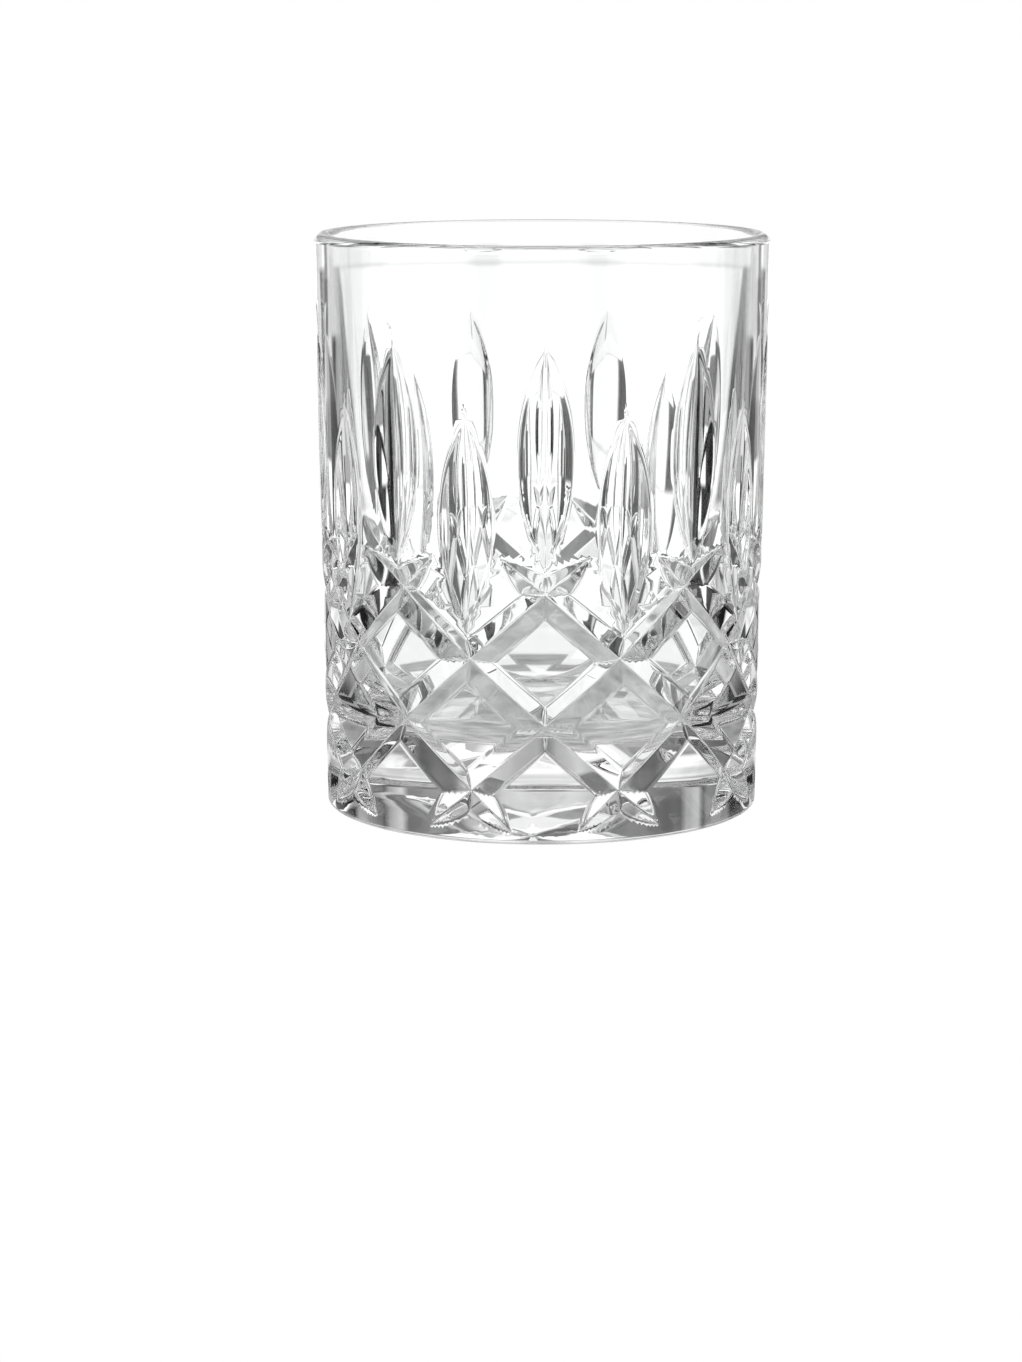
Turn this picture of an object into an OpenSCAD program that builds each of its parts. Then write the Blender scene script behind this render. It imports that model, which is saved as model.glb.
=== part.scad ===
// Pressed crystal whiskey tumbler: one solid of clear glass, straight sides
// with a slight taper, a thick foot, a rounded drinking lip, a ring of upright
// leaf cuts and a lattice of V grooves around the lower half.
// Millimetres, +Z up, origin at the centre of the underside.

/* [Body] */
// Height of the glass
glass_h = 98; // [96:0.5:104]
// Outer diameter at the rim
rim_d = 77.3; // [75.3:0.2:83.3]
// Outer diameter at the foot
foot_d = 74; // [72:0.2:76]
// Radius of the outer edge of the foot
foot_edge_r = 0.9; // [0.5:0.1:1.5]

/* [Inside] */
// Thickness of the solid glass under the drink
floor_t = 15.5; // [14:0.5:22]
// Wall thickness at the lip
lip_t = 2.9; // [2.4:0.1:3.6]
// Radius of the inside at the floor, before its corner is rounded
floor_r = 32.4; // [31:0.1:33]
// Radius of the rounded corner between floor and wall
floor_corner_r = 5; // [3:0.5:10]

/* [Cut pattern] */
// Number of repeats around the glass, each with one high and one low leaf
repeats = 9; // [8:1:10]
// Height of the lowest row of groove crossings
first_row_z = 8.5; // [8:0.1:9.5]
// Vertical distance between rows of crossings
row_step = 11; // [10:0.1:11.2]
// Depth of the V grooves and of the crossings
groove_depth = 1.8; // [1.4:0.1:2.4]
// Depth of a leaf along its centre line
leaf_depth = 2.2; // [0.8:0.1:2.4]
// Half width of a leaf at its middle
leaf_half_w = 4.35; // [3.2:0.05:4.8]

/* [Hidden] */
$fn = 96;

foot_r = foot_d / 2;
rim_r = rim_d / 2;
lip_land = 0.4;                     // flat on top of the lip between its two rounds
lip_r = (lip_t - lip_land) / 2;

// outer wall radius at height z
function wall_r(z) = foot_r + (rim_r - foot_r) * z / glass_h;

// The outside of the cut zone is a net of points laid along the grooves.
// A point has a column i and a row j with i + j even; a groove climbs one
// column and one row at a time, and its V is one step wide on either side.
sub = 6;                            // steps from one crossing to the next
rows = 4;                           // rows of crossings
cols = 2 * repeats * sub;
j_low = -4;                         // lowest row of the net, at the foot edge
j_top = 41;                         // highest row, above the leaves
j_cross = (rows - 1) * sub;         // the highest row of crossings
tip = sub / 2;                      // length of the pointed ends, in steps
leaf_rows = 20;                     // length of a leaf, in rows
high_mid = 30;                      // middle row of a high leaf
low_mid = 24;                       // middle row of a low leaf

function row_z(j) = j <= j_low ? foot_edge_r : first_row_z + row_step * j / sub;
z_top = row_z(j_top);
function mod(a, b) = a - b * floor(a / b);
// column of the nearest crossing or leaf, for columns spaced by s from c
function near(i, s, c) = c + s * round((i - c) / s);

// how deep a groove is along its pointed end, u steps past the crossing
function fade(u) = u <= 0 ? 1 : u >= tip ? 0 : 1 - (u / tip) * (u / tip);
function past(j) = j < 0 ? -j : j > j_cross ? j - j_cross : 0;
// whether a point lies in the valley of a groove of either direction
function valley(i, j) =
    mod((i + j - j_cross) / 2, sub) == 0 || mod((j - i - j_cross) / 2, sub) == 0;
function crossing(i, j) = j >= 0 && j <= j_cross
    && mod((i + j - j_cross) / 2, sub) == 0 && mod((j - i - j_cross) / 2, sub) == 0;

// leaves: offset from the centre line in columns, and -1 to 1 from tip to tip
function leaf_i(i) = near(i, sub, 0);
function leaf_mid(i) = mod(leaf_i(i) / sub, 2) == 0 ? high_mid : low_mid;
function leaf_t(i, j) = (j - leaf_mid(i)) / (leaf_rows / 2);
function leaf_off(i) = abs(i - leaf_i(i));
function in_leaf(i, j) = abs(leaf_t(i, j)) < 1 && leaf_off(i) < 3
    && j - leaf_mid(i) + leaf_rows / 2 > (leaf_mid(i) == low_mid ? leaf_off(i) : 1);
function at_tip(i, j) = abs(leaf_t(i, j)) > 0.85;
function leaf_w(i, j) = leaf_half_w * (1 - pow(abs(leaf_t(i, j)), 2.3));
// cells where a high leaf starts between two pointed ends
function leaf_start(i, j) = j == j_cross + tip + 1 && leaf_off(i) == 1 && leaf_mid(i) == high_mid;

// depth of the cuts at a point of the net
function depth(i, j) =
    past(j) < tip && valley(i, j) ? groove_depth * fade(past(j)) :
    !in_leaf(i, j) ? 0 :
    // the sides of a leaf are hollow, so it is over half as deep halfway across
    let (d = leaf_depth * (1 - leaf_t(i, j) * leaf_t(i, j)))
        leaf_off(i) == 0 ? d : leaf_off(i) == 1 && !at_tip(i, j) ? 0.66 * d : 0;

// sides of the pointed ends draw in towards the tip: steps p, q from a crossing
function drawn_in(p, q) = [
    q >= 1 && q < tip && abs(p) == 1 ? p * fade(q) : p,
    p >= 1 && p < tip && abs(q) == 1 ? q * fade(p) : q];

// column and row of a point after its pointed end or leaf has drawn it in
function placed(i, j) =
    let (up = j > tip, s = up ? 1 : -1,
         c = near(i, 2 * sub, up ? 0 : sub), n = up ? j_cross : 0,
         p = s * (i - c + j - n) / 2, q = s * (j - n - i + c) / 2,
         d = drawn_in(p, q))
    d != [p, q] ? [c + s * (d[0] - d[1]), n + s * (d[0] + d[1])] :
    in_leaf(i, j) && leaf_off(i) > 0 ?
        [leaf_i(i) + sign(i - leaf_i(i)) * leaf_w(i, j) / wall_r(row_z(j)) * 180 / PI
            * sub * 2 * repeats / 360 * (leaf_off(i) == 1 && !at_tip(i, j) ? 0.5 : 1), j] :
    [i, j];

function net_point(i, j) =
    let (g = placed(i, j), z = row_z(g[1]), t = g[0] * 360 / cols,
         r = wall_r(z) - depth(i, j))
    [r * cos(t), r * sin(t), z];

n = cols / 2;
function id(i, j) = (j - j_low) * n + floor(mod(i, cols) / 2);
function ring(r, z) = [for (i = [0 : cols - 1]) let (t = i * 360 / cols) [r * cos(t), r * sin(t), z]];
// points that fill every second column of the lowest and highest rows
m_low = (j_top - j_low + 1) * n;
m_top = m_low + n;
function low(i) = let (c = mod(i, cols)) c % 2 == 0 ? id(c, j_low) : m_low + (c - 1) / 2;
function top(i) = let (c = mod(i, cols)) c % 2 == 1 ? id(c, j_top) : m_top + c / 2;
// rounded foot edge, then the plain wall above the leaves and the outer round of the lip
foot_turns = [45, 90];
lip_turns = [0, 30, 60, 90];
foot_0 = m_top + n;
lip_0 = foot_0 + len(foot_turns) * cols;
net_points = concat(
    [for (j = [j_low : j_top], k = [0 : n - 1]) net_point(2 * k + mod(j, 2), j)],
    [for (k = [0 : n - 1]) net_point(2 * k + 1, j_low)],
    [for (k = [0 : n - 1]) net_point(2 * k, j_top)],
    [for (a = foot_turns) each ring(wall_r(foot_edge_r) - foot_edge_r * (1 - cos(a)),
                                    foot_edge_r * (1 - sin(a)))],
    [for (a = lip_turns) each ring(wall_r(glass_h - lip_r) - lip_r * (1 - cos(a)),
                                   glass_h - lip_r * (1 - sin(a)))]);
foot_end = foot_0 + (len(foot_turns) - 1) * cols;
lip_end = lip_0 + (len(lip_turns) - 1) * cols;
net_faces = concat(
    // four-sided cells, split across at the crossings and where the high leaves start
    [for (j = [j_low + 1 : j_top - 1], k = [0 : n - 1]) let (i = 2 * k + 1 - mod(j, 2),
        l = id(i - 1, j), r = id(i + 1, j), b = id(i, j - 1), t = id(i, j + 1),
        flat = crossing(i - 1, j) || crossing(i + 1, j) || leaf_start(i, j))
        each flat ? [[l, t, r], [l, r, b]] : [[t, r, b], [t, b, l]]],
    // half cells along the highest and lowest rows
    [for (k = [0 : n - 1]) let (i = 2 * k, b = id(i, j_top - 1))
        each [[top(i - 1), top(i), b], [top(i), top(i + 1), b]]],
    [for (k = [0 : n - 1]) let (i = 2 * k + 1, t = id(i, j_low + 1))
        each [[low(i - 1), t, low(i)], [low(i), t, low(i + 1)]]],
    [for (i = [0 : cols - 1]) let (m = (i + 1) % cols) each concat(
        [[low(i), low(i + 1), foot_0 + m, foot_0 + i]],
        [for (a = [foot_0 : cols : foot_end - 1]) [a + i, a + m, a + cols + m, a + cols + i]],
        [[lip_0 + i, lip_0 + m, top(i + 1), top(i)]],
        [for (a = [lip_0 : cols : lip_end - 1]) [a + cols + i, a + cols + m, a + m, a + i]])],
    // underside and the top of the lip, still closed over the drink space
    [[for (i = [0 : cols - 1]) foot_end + i]],
    [[for (i = [cols - 1 : -1 : 0]) lip_end + i]]);

// space for the drink: flat floor, rounded corner, leaning wall, inner round of the lip
module drink_space() rotate_extrude() {
    top_r = wall_r(glass_h - lip_r) - lip_t;
    lean = atan((top_r - floor_r) / (glass_h - lip_r - floor_t));
    c = floor_corner_r;
    // centre of the rounded corner, one radius from the floor and the wall
    cz = floor_t + c;
    cr = floor_r + c * tan(lean) - c / cos(lean);
    polygon(concat([[0, floor_t]],
        [for (k = [0 : 8]) let (a = -90 + (90 - lean) * k / 8) [cr + c * cos(a), cz + c * sin(a)]],
        [for (a = lip_turns) [top_r + lip_r * (1 - cos(a)), glass_h - lip_r * (1 - sin(a))]],
        [[top_r + lip_r, glass_h + 2], [0, glass_h + 2]]));
}

module glass_body() color([0.93, 0.95, 0.95, 0.55])
    difference() {
        // a high leaf faces the front, -Y
        rotate([0, 0, -90]) polyhedron(net_points, net_faces, convexity = 10);
        drink_space();
    }

glass_body();
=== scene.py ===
import math
import bpy
import numpy as np
from mathutils import Euler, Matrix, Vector


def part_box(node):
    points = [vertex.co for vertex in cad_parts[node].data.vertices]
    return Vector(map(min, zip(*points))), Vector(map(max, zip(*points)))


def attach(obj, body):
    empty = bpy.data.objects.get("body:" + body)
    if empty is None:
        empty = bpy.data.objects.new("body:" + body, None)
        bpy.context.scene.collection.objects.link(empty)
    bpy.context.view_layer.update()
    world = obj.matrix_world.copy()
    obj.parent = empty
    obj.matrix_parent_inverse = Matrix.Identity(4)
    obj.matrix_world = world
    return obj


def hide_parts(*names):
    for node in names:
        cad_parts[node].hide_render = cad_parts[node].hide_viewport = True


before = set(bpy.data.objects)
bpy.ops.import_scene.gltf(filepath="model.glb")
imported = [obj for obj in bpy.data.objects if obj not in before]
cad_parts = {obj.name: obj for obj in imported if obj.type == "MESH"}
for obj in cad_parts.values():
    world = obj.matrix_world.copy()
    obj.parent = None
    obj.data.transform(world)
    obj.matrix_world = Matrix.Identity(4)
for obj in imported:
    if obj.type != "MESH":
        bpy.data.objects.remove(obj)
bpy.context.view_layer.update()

MM = 0.001

# ------------------------------------------------------------------ the glass
# The CAD node gives the size; the pattern is the same as in part.scad, in mm.
lo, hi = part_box("glass_body")
H = (hi[2] - lo[2]) * 1000.0                 # height
RIM = (hi[0] - lo[0]) * 500.0                # outer radius just under the lip
FOOT = RIM - 1.63                            # outer radius at the foot
LIP_Z = H - 1.45
FOOT_E = 0.9                                 # foot edge radius


def wall(z):
    """Outer wall radius at height z."""
    return FOOT + (RIM - FOOT) * np.minimum(z, LIP_Z) / LIP_Z


# lattice of V grooves
REP = 9
Z0 = 8.5                                     # lowest crossings
ROW = 11.0                                   # vertical distance between rows
ZT = Z0 + 3 * ROW                            # highest crossings
RREF = 37.6
RUN = RREF * math.radians(20)
AL = math.atan(ROW / RUN)
SA, CA = math.sin(AL), math.cos(AL)
PERP = 2 * RUN * SA                          # distance between parallel grooves
SEG = math.hypot(RUN, ROW)
G_D, G_W = 1.8, 2.74                         # groove depth and half width
G_C = 0.0                                    # hollow of the groove sides
PETAL = 9.3                                  # length of the pointed ends
# leaves
HIGH_Z, LOW_Z, LEAF_L = 63.8, 52.6, 35.8
L_D, L_W = 2.2, 4.35                         # depth and half width
L_A, L_P = 0.35, 2.3                         # crease along the middle, fullness of the outline
WAVE, SKIN = 1.8e-5, 0.3e-6                  # height of the surface waviness, m
EDGE = 0.3                                   # roundness of the outer edges of the cuts


def smax(a, b, h):
    """Larger of a and b, rounded where they are within h of each other."""
    k = np.maximum(h - np.abs(a - b), 0.0)
    return np.maximum(a, b) + k * k / (4 * h)


def leaf_w(t):
    """Half width of a leaf, t from 0 in its middle to 1 at its tips."""
    return L_W * np.maximum(1 - t ** L_P, 0.02)


def groove(x, z, s):
    """Depth of the grooves that climb to the left (s=1) or to the right (s=-1)."""
    p = s * x * SA + (z - ZT) * CA
    p = p - PERP * np.round(p / PERP)
    zl = z - p * CA                          # height of the nearest point of the valley
    over = np.maximum(zl - ZT, Z0 - zl) / SA
    u = np.maximum(over, 0.0) / PETAL
    d = G_D * (1 - u * u)
    q = (np.sqrt(p * p + 0.10 ** 2) - 0.10) / G_W
    return d - G_D * ((1 - G_C) * q + G_C * q * np.minimum(q, 2))


def cut(th, z):
    """Depth of all cuts under the plain wall, th in radians from a high leaf."""
    x = RREF * th
    g = smax(groove(x, z, 1), groove(x, z, -1), 0.10)
    g = np.where(g > -1, g, -1)
    r = wall(z)
    half = math.radians(20)
    k = np.round(th / half)
    y = r * np.sin(th - k * half)
    mid = np.where(np.mod(k, 2) == 0, HIGH_Z, LOW_Z)
    t = np.abs(z - mid) / (LEAF_L / 2)
    d = L_D * (1 - t * t)
    w = leaf_w(t)
    sy = np.sqrt((y / w) ** 2 + 0.03 ** 2) - 0.03
    leaf = np.maximum(d, 0.02) * (1 - L_A * sy - (1 - L_A) * sy * sy) - 2 * np.maximum(t - 1, 0)
    leaf = np.maximum(leaf, -1)
    c = smax(g, leaf, 0.10)
    return smax(c, 0.0 * c, EDGE)


# ---- net of points, laid along the grooves so that every crease is an edge
NU = 36
NC = 2 * REP * NU                            # columns round the glass
J_LO, J_HI = -24, 242
W_KEY = [0, 1, 2, 3, 4, 5, 6, 7, 8, 9, 18]
W_VAL = [0, .009, .026, .062, .105, .141, .1625, .178, .200, .228, .5]
H_KEY = list(range(19))
H_VAL = [0, .035, .10, .20, .32, .45, .58, .70, .81, .90, .955, .985, 1.0,
         .045, .16, .34, .56, .78, 1.0]


def step(a, b, x):
    t = np.clip((x - a) / (b - a), 0, 1)
    return t * t * (3 - 2 * t)


def net(i, j):
    """Angle in radians and height of net points (i, j)."""
    i, j = i.astype(float), j.astype(float)
    uf, vf = ((i + j) / 2 - 54) / NU, ((j - i) / 2 - 54) / NU

    def draw(a, b):
        n = np.round(a)
        f = a - n
        past = np.maximum(b + n, -(b + n + 3))          # steps past the outer crossing
        g = 1 - (np.maximum(past, 0) / (PETAL / SEG)) ** 2
        g = np.maximum(g, 0.12)
        w = np.interp(np.abs(f) * NU, W_KEY, W_VAL)
        inner = np.abs(f) * NU <= 6
        e = W_VAL[6]
        w = np.where(inner, w * g, e * g + (w - e) * (0.5 - e * g) / (0.5 - e))
        keep = step(0.85, 0.5, past)                   # even net beyond the pointed ends
        return n + np.sign(f) * (w * keep + np.abs(f) * (1 - keep))

    u, v = draw(uf, vf), draw(vf, uf)
    low = step(J_LO + 0.5, J_LO + 8, j)                 # even net along the foot
    u, v = uf + (u - uf) * low, vf + (v - vf) * low
    gi, gj = (u - v) * NU, (u + v) * NU + 108
    # leaves
    n = np.round(i / NU)
    o = i - n * NU
    odd = np.mod(n, 2) == 1
    z = Z0 + ROW * j / NU
    mid = np.where(odd, LOW_Z, HIGH_Z)
    w = leaf_w(np.abs(z - mid) / (LEAF_L / 2))
    far = np.maximum(np.abs(z - mid) - LEAF_L / 2, 0)
    even = RREF * math.radians(20) / 3
    w = np.sqrt(w * w + 0.25)
    tip = step(2.6, 0.9, w)                              # even columns towards the tips
    w = w + (even - w) * step(0.3, 5.0, far)
    wi = w / RREF / math.radians(20) * NU                # half width in columns
    hv = np.interp(np.abs(o), H_KEY, H_VAL)
    hv = hv + (np.where(np.abs(o) <= 12, np.abs(o) / 12, np.abs(o) / 6 - 2) - hv) * tip
    li = np.where(np.abs(o) <= 12, wi * hv, wi + (NU / 2 - wi) * hv)
    wide = step(5.0, 0.3, far)
    li = li * wide + np.abs(o) * (1 - wide)
    li = n * NU + np.sign(o) * li
    # where the leaf net takes over from the groove net
    oc = np.abs(i - 72 * np.round(i / 72))
    edge = np.where(oc < 21, 122 + 0.33 * oc, 84 + (36 - oc))
    soft = np.where((oc >= 21) & (oc < 25), 104 + (25 - oc) * 6.0, edge)
    lam = step(0.5, 8.0, j - np.maximum(edge, soft))
    I = gi + (li - gi) * lam
    J = gj + (j - gj) * lam
    return I / NU * math.radians(20), Z0 + ROW * J / NU


TH0 = -math.pi / 2                           # a high leaf faces the front, -Y
nr = NC // 2
jj = np.arange(J_LO, J_HI + 1)
I = 2 * np.arange(nr)[None, :] + (jj % 2)[:, None]
J = np.repeat(jj[:, None], nr, 1)
th, zz = net(I, J)


def place(th, z):
    r = wall(z) - cut(th, z)
    return np.stack([r * np.cos(th + TH0), r * np.sin(th + TH0), z], -1)


def normals(th, z):
    e = 0.01
    a = place(th + e / RREF, z) - place(th - e / RREF, z)
    b = place(th, z + e) - place(th, z - e)
    n = np.cross(a, b)
    return n / np.linalg.norm(n, axis=-1, keepdims=True)


P = [place(th, zz).reshape(-1, 3)]
N = [normals(th, zz).reshape(-1, 3)]
count = [P[0].shape[0]]
F = []


def vid(i, j):
    return (j - J_LO) * nr + (np.mod(i, NC) // 2)


jc = np.arange(J_LO + 1, J_HI)
CI = 2 * np.arange(nr)[None, :] + 1 - (jc % 2)[:, None]
CJ = np.repeat(jc[:, None], nr, 1)
CI, CJ = CI.ravel(), CJ.ravel()
l, r_, b, t = vid(CI - 1, CJ), vid(CI + 1, CJ), vid(CI, CJ - 1), vid(CI, CJ + 1)
# beside a crossing the ridge runs level, elsewhere the cells are split upright
near = 36 * np.round(CI / 36.0)
lev = np.isin(CJ, (0, 36, 72, 108)) & (np.abs(CI - near) <= 7)
lev &= (np.mod(near / 36 + (108 - CJ) / 36, 2) == 0)
q = lambda *a: np.stack(a, 1)
F += [q(t, l, b)[~lev], q(t, b, r_)[~lev], q(l, b, r_)[lev], q(l, r_, t)[lev]]
ke = np.arange(nr)
F += [q(vid(2 * ke - 0, J_HI), vid(2 * ke + 1, J_HI - 1), vid(2 * ke + 2, J_HI))]
F += [q(vid(2 * ke, J_LO), vid(2 * ke + 2, J_LO), vid(2 * ke + 1, J_LO + 1))]

# ---- rings: outer wall up to the lip, lip, inside, and underneath
ang = 2 * np.arange(nr) / NC * 2 * math.pi + TH0
last = [0]


def ring(r, z, nrm):
    """Adds one ring of points; nrm is (radial, up)."""
    m = math.hypot(*nrm)
    P.append(np.stack([r * np.cos(ang), r * np.sin(ang), np.full(nr, z)], 1))
    N.append(np.stack([nrm[0] / m * np.cos(ang), nrm[0] / m * np.sin(ang),
                       np.full(nr, nrm[1] / m)], 1))
    count[0] += nr
    return count[0] - nr


def join(a, b):
    """Band of faces from ring a (above, outside) to ring b, a above b seen from outside."""
    k = np.arange(nr)
    m = (k + 1) % nr
    F.append(q(a + k, b + k, b + m))
    F.append(q(a + k, b + m, a + m))


lean = math.atan((RIM - FOOT) / LIP_Z)
top0 = int(vid(np.array([0]), np.array([J_HI]))[0])
a = top0
z_hi = Z0 + ROW * J_HI / NU
for z in np.linspace(z_hi, LIP_Z, 4)[1:]:
    b_ = ring(float(wall(z)), z, (math.cos(lean), -math.sin(lean)))
    join(b_, a)
    a = b_
LR = 1.45                                    # lip radius
cx, cz = RIM - LR, LIP_Z
for d in range(15, 181, 15):
    d = math.radians(d)
    b_ = ring(cx + LR * math.cos(d), cz + LR * math.sin(d), (math.cos(d), math.sin(d)))
    join(b_, a)
    a = b_
# inside: leaning wall, rounded corner, floor
FL_T, FL_R, CR = 15.5, 32.4, 5.0
ri = cx - LR
lean_i = math.atan((ri - FL_R) / (LIP_Z - FL_T))
c_z = FL_T + CR
c_r = FL_R + CR * math.tan(lean_i) - CR / math.cos(lean_i)
w_z = c_z - CR * math.sin(lean_i)
w_r = c_r + CR * math.cos(lean_i)
for f in np.linspace(0, 1, 5)[1:]:
    b_ = ring(ri + (w_r - ri) * f, LIP_Z + (w_z - LIP_Z) * f,
              (-math.cos(lean_i), math.sin(lean_i)))
    join(b_, a)
    a = b_
for d in np.linspace(-math.degrees(lean_i), -90, 10)[1:]:
    d = math.radians(float(d))
    b_ = ring(c_r + CR * math.cos(d), c_z + CR * math.sin(d), (-math.cos(d), -math.sin(d)))
    join(b_, a)
    a = b_
for f in (0.7, 0.4, 0.1):
    b_ = ring(c_r * f, FL_T, (0, 1))
    join(b_, a)
    a = b_
P.append(np.array([[0, 0, FL_T]])); N.append(np.array([[0, 0, 1.0]]))
k = np.arange(nr)
F.append(q(a + k, a + (k + 1) % nr, np.full(nr, count[0])))
count[0] += 1
# underneath
a = int(vid(np.array([0]), np.array([J_LO]))[0])
fr = float(wall(FOOT_E)) - FOOT_E
for d in (0, 18, 36, 54, 72, 90):
    d = math.radians(d)
    b_ = ring(fr + FOOT_E * math.cos(d), FOOT_E - FOOT_E * math.sin(d),
              (math.cos(d), -math.sin(d)))
    join(a, b_)
    a = b_
for f in (0.97, 0.6, 0.2):
    b_ = ring(fr * f, 0.0, (0, -1))
    join(a, b_)
    a = b_
P.append(np.array([[0, 0, 0.0]])); N.append(np.array([[0, 0, -1.0]]))
F.append(q(a + k, np.full(nr, count[0]), a + (k + 1) % nr))
count[0] += 1

P = np.concatenate(P) * MM
N = np.concatenate(N)
F = np.concatenate(F).astype(np.int64)
print("glass: points", len(P), "faces", len(F))

me = bpy.data.meshes.new("glass_tumbler")
me.vertices.add(len(P)); me.vertices.foreach_set("co", P.astype(np.float32).ravel())
me.loops.add(len(F) * 3); me.loops.foreach_set("vertex_index", F.astype(np.int32).ravel())
me.polygons.add(len(F)); me.polygons.foreach_set("loop_start", np.arange(0, len(F) * 3, 3, dtype=np.int32))
me.update(calc_edges=True)
me.validate()
me.polygons.foreach_set("use_smooth", np.ones(len(me.polygons), dtype=bool))
me.normals_split_custom_set_from_vertices([tuple(v) for v in N.tolist()])
me.update()
glass = bpy.data.objects.new("glass_tumbler", me)
bpy.context.scene.collection.objects.link(glass)
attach(glass, "root")
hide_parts("glass_body")

# ------------------------------------------------------------------ material
def node(tree, kind, **kw):
    n = tree.nodes.new(kind)
    for k_, v_ in kw.items():
        setattr(n, k_, v_)
    return n


def math_node(tree, op, a_, b_=None, c_=None):
    n = node(tree, "ShaderNodeMath", operation=op)
    for k_, v_ in enumerate((a_, b_, c_)):
        if v_ is None:
            continue
        if hasattr(v_, "links"):
            tree.links.new(v_, n.inputs[k_])
        else:
            n.inputs[k_].default_value = v_
    return n.outputs[0]


def noise(tree, vec, scale, detail, rough=0.5):
    n = node(tree, "ShaderNodeTexNoise")
    n.inputs["Scale"].default_value = scale
    n.inputs["Detail"].default_value = detail
    n.inputs["Roughness"].default_value = rough
    tree.links.new(vec, n.inputs["Vector"])
    return n.outputs["Fac"]


# Pressed and fire-polished glass: a faint flow waviness from the mould, a finer
# skin on top of it, and a foot ring dulled by tables.
mat = bpy.data.materials.new("pressed_clear_glass")
mat.use_nodes = True
nt = mat.node_tree
bsdf = nt.nodes["Principled BSDF"]
bsdf.inputs["Base Color"].default_value = (0.985, 0.99, 0.988, 1)
bsdf.inputs["IOR"].default_value = 1.52
bsdf.inputs["Transmission Weight"].default_value = 1.0
tc = node(nt, "ShaderNodeTexCoord")
ob = tc.outputs["Object"]
mp = node(nt, "ShaderNodeMapping")               # flow lines run up the glass
mp.inputs["Scale"].default_value = (1, 1, 0.45)
nt.links.new(ob, mp.inputs["Vector"])
wave = noise(nt, mp.outputs[0], 110, 1.0)
skin = noise(nt, ob, 800, 2.0, 0.55)
b1 = node(nt, "ShaderNodeBump")
b1.inputs["Strength"].default_value = 1.0
b1.inputs["Distance"].default_value = WAVE
nt.links.new(wave, b1.inputs["Height"])
b2 = node(nt, "ShaderNodeBump")
b2.inputs["Strength"].default_value = 1.0
b2.inputs["Distance"].default_value = SKIN
nt.links.new(skin, b2.inputs["Height"])
nt.links.new(b1.outputs[0], b2.inputs["Normal"])
nt.links.new(b2.outputs[0], bsdf.inputs["Normal"])
sx = node(nt, "ShaderNodeSeparateXYZ")
nt.links.new(ob, sx.inputs[0])
rad = math_node(nt, "SQRT", math_node(nt, "ADD", math_node(nt, "POWER", sx.outputs[0], 2.0),
                                      math_node(nt, "POWER", sx.outputs[1], 2.0)))
ring_in = math_node(nt, "GREATER_THAN", rad, 0.0335)
low_z = math_node(nt, "LESS_THAN", sx.outputs[2], 0.0004)
worn = math_node(nt, "MULTIPLY", ring_in, low_z)
scuff = math_node(nt, "MULTIPLY", math_node(nt, "GREATER_THAN", noise(nt, ob, 1400, 3.0), 0.52), worn)
smooth = math_node(nt, "MULTIPLY_ADD", noise(nt, ob, 260, 2.0), 0.016, -0.004)
nt.links.new(math_node(nt, "MAXIMUM", math_node(nt, "MULTIPLY_ADD", scuff, 0.16, smooth), 0.0),
             bsdf.inputs["Roughness"])
me.materials.append(mat)

# ------------------------------------------------------------------ stage
# A white table and a ring of light panels round it. The panels, and the light and shade painted on the
# table, show only through the glass; seen directly everything is plain white.


def soft(x, lo_, hi_, e):
    """1 between lo_ and hi_, with edges e wide."""
    p_ = np.clip((x - lo_) / e + 0.5, 0, 1)
    q_ = np.clip((hi_ - x) / e + 0.5, 0, 1)
    return p_ * p_ * (3 - 2 * p_) * q_ * q_ * (3 - 2 * q_)


def lay(zones, a_, v_):
    """Brightness at azimuth a_ (degrees from +Y, either way) and radius or elevation v_."""
    g = np.full(a_.shape, 0.015)
    for a0, a1, ea, v0, v1, ev, val in zones:
        g = g + (val - g) * soft(a_, a0, a1, ea) * soft(v_, v0, v1, ev)
    return g


# painted light and shade on the table: pools of light, and in the last zone a painted shadow under the
# glass;
# azimuth from, to, edge; radius from, to, edge (m); brightness
FLOOR_PAINTED_LIGHT = [
    (-9, 60, 5, 0.041, 0.062, 0.006, 1.05), (-9, 92, 5, 0.062, 0.09, 0.008, 0.4),
    (120, 200, 6, 0.062, 0.09, 0.008, 1.3), (-9, 30, 4, 0.09, 0.16, 0.01, 0.95),
    (90, 200, 5, 0.09, 0.16, 0.01, 1.1), (44, 59, 2, 0.16, 0.3, 0.02, 1.4),
    (88, 136, 3, 0.16, 0.3, 0.02, 1.25), (44, 60, 3, 0.3, 99, 0.05, 0.38),
    (79, 141, 3, 0.3, 99, 0.04, 1.2), (-9, 29, 2, 0.16, 0.3, 0.03, 1.2),
    (-9, 20.5, 2, 0.3, 1.6, 0.04, 1.2), (-9, 30, 2.5, 1.6, 99, 0.3, 1.2),
    (34.5, 39, 2, 0.3, 0.7, 0.05, 0.9), (34.5, 50, 2, 0.62, 99, 0.06, 0.74),
    (158, 200, 5, 0.16, 99, 0.02, 1.0), (-9, 200, 1, -1, 0.041, 0.004, 0.54)]
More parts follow.
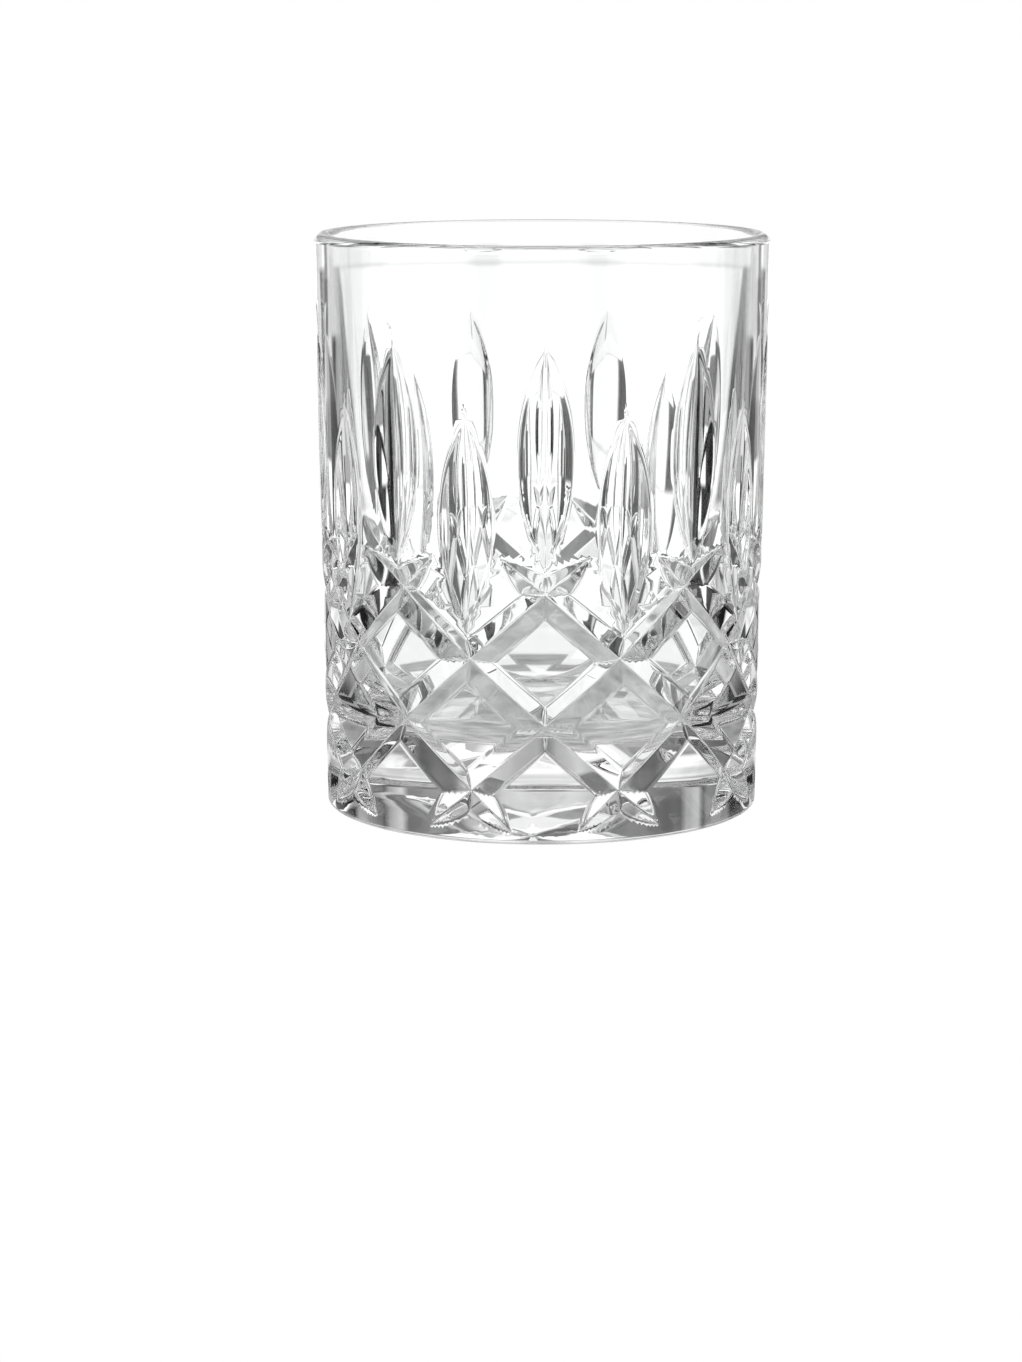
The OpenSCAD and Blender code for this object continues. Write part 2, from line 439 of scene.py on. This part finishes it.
# azimuth from, to, edge; elevation from, to, edge (degrees); brightness
PANELS = [
    (79, 143, 4, -9, 28, 3, 1.15), (-9, 34, 3, -9, 6, 2, 1.1), (-9, 4, 3, -9, 6, 2, 0.5),
    (-9, 34, 3, 6, 28, 2, 0.22), (-9, 9, 3, 6, 15, 3, 0.7), (29, 35, 2, 6, 15, 3, 0.65),
    (4, 15, 3, 15, 28, 3, 0.55), (40, 50, 2, 15, 28, 3, 1.3), (36, 49, 3, 6, 15, 3, 0.3),
    (60, 79, 3, 15, 28, 3, 0.2), (-9, 15, 4, 28, 45, 3, 1.1), (15, 105, 5, 28, 45, 3, 0.15),
    (-9, 90, 5, 45, 66, 4, 1.3), (36, 79, 3, -9, 6, 2, 0.25), (36, 50, 3, -9, 6, 2, 0.74),
    (158, 200, 5, -9, 12, 4, 1.0)]


def glow_mat(name, scale):
    """Emission from the mesh's own brightness (painted light and shade on the table, lamp light on the
    panels); plain white where the camera looks at it.
    """
    m_ = bpy.data.materials.new(name)
    m_.use_nodes = True
    t_ = m_.node_tree
    t_.nodes.clear()
    out_ = node(t_, "ShaderNodeOutputMaterial")
    em_ = node(t_, "ShaderNodeEmission")
    at_ = node(t_, "ShaderNodeAttribute", attribute_name="glow")
    # painted caustic light: uneven light, as cut glass throws it on a table, painted in soft patches, no
    # figure
    pos_ = node(t_, "ShaderNodeTexCoord").outputs["Object"]
    gain_ = math_node(t_, "MAXIMUM", math_node(
        t_, "MULTIPLY_ADD", noise(t_, pos_, scale, 2.0), 1.8, 0.0), 0.12)
    near_ = node(t_, "ShaderNodeAttribute", attribute_name="uneven")
    mix_ = node(t_, "ShaderNodeMix", data_type="FLOAT")
    t_.links.new(near_.outputs["Fac"], mix_.inputs[0])
    mix_.inputs[2].default_value = 1.0
    t_.links.new(gain_, mix_.inputs[3])
    glow_ = math_node(t_, "MULTIPLY", at_.outputs["Fac"], mix_.outputs[0])
    lp_ = node(t_, "ShaderNodeLightPath")
    mx_ = node(t_, "ShaderNodeMix", data_type="FLOAT")
    t_.links.new(lp_.outputs["Is Camera Ray"], mx_.inputs[0])
    t_.links.new(glow_, mx_.inputs[2])
    mx_.inputs[3].default_value = 1.0
    t_.links.new(mx_.outputs[0], em_.inputs["Strength"])
    t_.links.new(em_.outputs[0], out_.inputs["Surface"])
    m_.cycles.emission_sampling = "NONE"
    return m_


def polar(name, rows, zones, point, uneven, scale):
    """Polar grid mesh with the zones' brightness at its points; rows run outwards or up.
    uneven is the zone where the light is uneven (painted caustic patches on the table), scale how fine the
    patches are."""
    az_ = np.arange(360.0)
    A, V = np.meshgrid(az_, np.array(rows))
    xyz = point(np.radians(A), V).reshape(-1, 3)
    fold = np.where(A > 180, 360 - A, A)
    glow = lay(zones, fold, V).ravel()
    i_, j_ = np.meshgrid(np.arange(360), np.arange(len(rows) - 1))
    i_, j_ = i_.ravel(), j_.ravel()
    n_ = (i_ + 1) % 360
    quads = np.stack([j_ * 360 + i_, j_ * 360 + n_, (j_ + 1) * 360 + n_, (j_ + 1) * 360 + i_], 1)
    m_ = bpy.data.meshes.new(name)
    m_.from_pydata([tuple(p) for p in xyz.tolist()], [], quads.tolist())
    at = m_.attributes.new("glow", "FLOAT", "POINT")
    at.data.foreach_set("value", glow.astype(np.float32))
    at = m_.attributes.new("uneven", "FLOAT", "POINT")
    at.data.foreach_set("value", (soft(fold, *uneven[:3]) * soft(V, *uneven[3:])).ravel().astype(np.float32))
    m_.materials.append(glow_mat(name + "_light", scale))
    o_ = bpy.data.objects.new(name, m_)
    bpy.context.scene.collection.objects.link(o_)
    return o_


rr = [0.00001, .01, .02, .03, .036, .038, .039, .041, .043, .045, .05, .055, .058, .06, .062,
      .064, .066, .075, .085, .088, .09, .092, .095, .105, .12, .14, .15, .155, .16, .165, .17,
      .2, .25, .26, .27, .28, .29, .3, .31, .32, .33, .34, .4, .55,
      .58, .61, .64, .67, .7, .73, .8, 1.5, 1.6, 1.7, 6.0]
floor = polar("floor", rr, FLOOR_PAINTED_LIGHT, lambda a_, r_: np.stack(
    [r_ * np.sin(a_), r_ * np.cos(a_), np.full(a_.shape, -0.0001)], -1),
    (-9, 200, 1, -1, 0.08, 0.09), 120)
ee = [-0.5, 2, 4, 5, 6, 7, 8, 10, 12, 13, 14, 15, 16, 17, 19, 22, 25, 26, 27, 28, 29, 30, 32,
      38, 43, 44, 45, 46, 47, 50, 60, 63, 64, 65, 66, 67, 68, 69, 75, 89.99]
dome = polar("light_panels", ee, PANELS, lambda a_, e_: np.stack(
    [6 * np.sin(a_) * np.cos(np.radians(e_)), 6 * np.cos(a_) * np.cos(np.radians(e_)),
     6 * np.sin(np.radians(e_))], -1), (-9, 60, 10, 7, 32, 4), 1.1)
dome.visible_camera = False

w = bpy.data.worlds.new("studio")
bpy.context.scene.world = w
w.use_nodes = True
w.node_tree.nodes["Background"].inputs["Color"].default_value = (1, 1, 1, 1)
w.node_tree.nodes["Background"].inputs["Strength"].default_value = 1.0

# ------------------------------------------------------------------ camera
cam = bpy.data.cameras.new("camera")
cam.sensor_width = 36.0
cam.lens = 3656.0 / 1362 * 36.0
cam.clip_start, cam.clip_end = 0.01, 50
co = bpy.data.objects.new("camera", cam)
bpy.context.scene.collection.objects.link(co)
az = math.radians(-0.95)
D, HC, PITCH = 0.6223, 0.1354, 0.1823
co.location = (D * math.sin(az), -D * math.cos(az), HC)
yaw = math.atan((541.5 - 511) / 3656.0 / math.cos(PITCH))
co.rotation_euler = Euler((math.pi / 2 - PITCH, 0, az + yaw), "XYZ")
bpy.context.scene.camera = co

sc = bpy.context.scene
sc.view_settings.view_transform = "Standard"
sc.view_settings.look = "None"
sc.view_settings.exposure = 0.0
sc.view_settings.gamma = 1.0
sc.cycles.use_denoising = True
sc.cycles.max_bounces = 32
sc.cycles.transmission_bounces = 32
sc.cycles.glossy_bounces = 24
sc.cycles.diffuse_bounces = 4
sc.cycles.transparent_max_bounces = 16
